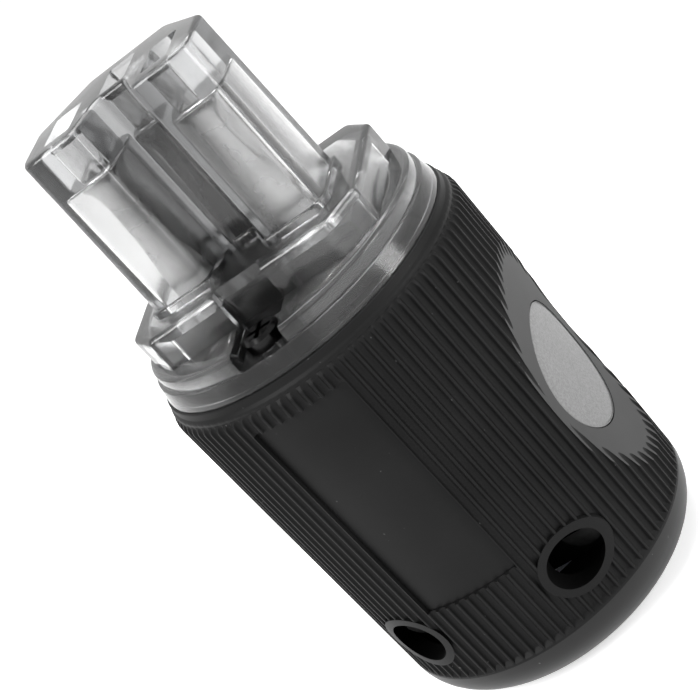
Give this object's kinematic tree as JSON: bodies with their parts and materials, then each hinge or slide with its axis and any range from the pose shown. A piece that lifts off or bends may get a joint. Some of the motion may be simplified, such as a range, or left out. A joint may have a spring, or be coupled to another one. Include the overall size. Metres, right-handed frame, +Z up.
{
  "type": "rewireable appliance connector",
  "caption": "Straight rewireable appliance connector: a clear nose with pin openings on a ribbed black grip with scooped finger rests.",
  "frame": {"origin": "middle of the flat rear end, on the axis of the cable way", "axes": "+Z up the connector to the nose, X along the nose's long side, -Y the side with the bare panel and the access holes"},
  "size_m": [0.0418, 0.0418, 0.0828],
  "materials": {
    "cover_black": "satin",
    "inlay_grey": "satin",
    "front_clear": "gloss",
    "inner_black": "matte",
    "contact_plated": "polished",
    "screw_steel": "satin",
    "screw_dark": "satin"
  },
  "bodies": {
    "root": {"cover": "cover_black", "left_inlay": "inlay_grey", "right_inlay": "inlay_grey", "front_insulator": "front_clear", "terminal_carrier": "inner_black", "clamp_saddle": "inner_black", "clamp_base": "inner_black", "line_contact": "contact_plated", "neutral_contact": "contact_plated", "earth_contact": "contact_plated", "line_terminal_screw": "screw_steel", "neutral_terminal_screw": "screw_steel", "earth_terminal_screw": "screw_steel", "line_pressure_plate": "screw_steel", "neutral_pressure_plate": "screw_steel", "earth_pressure_plate": "screw_steel", "near_fixing_screw": "screw_dark", "far_fixing_screw": "screw_dark", "left_clamp_screw": "screw_steel", "right_clamp_screw": "screw_steel", "left_clamp_nut": "screw_steel", "right_clamp_nut": "screw_steel"}
  },
  "joints": []
}
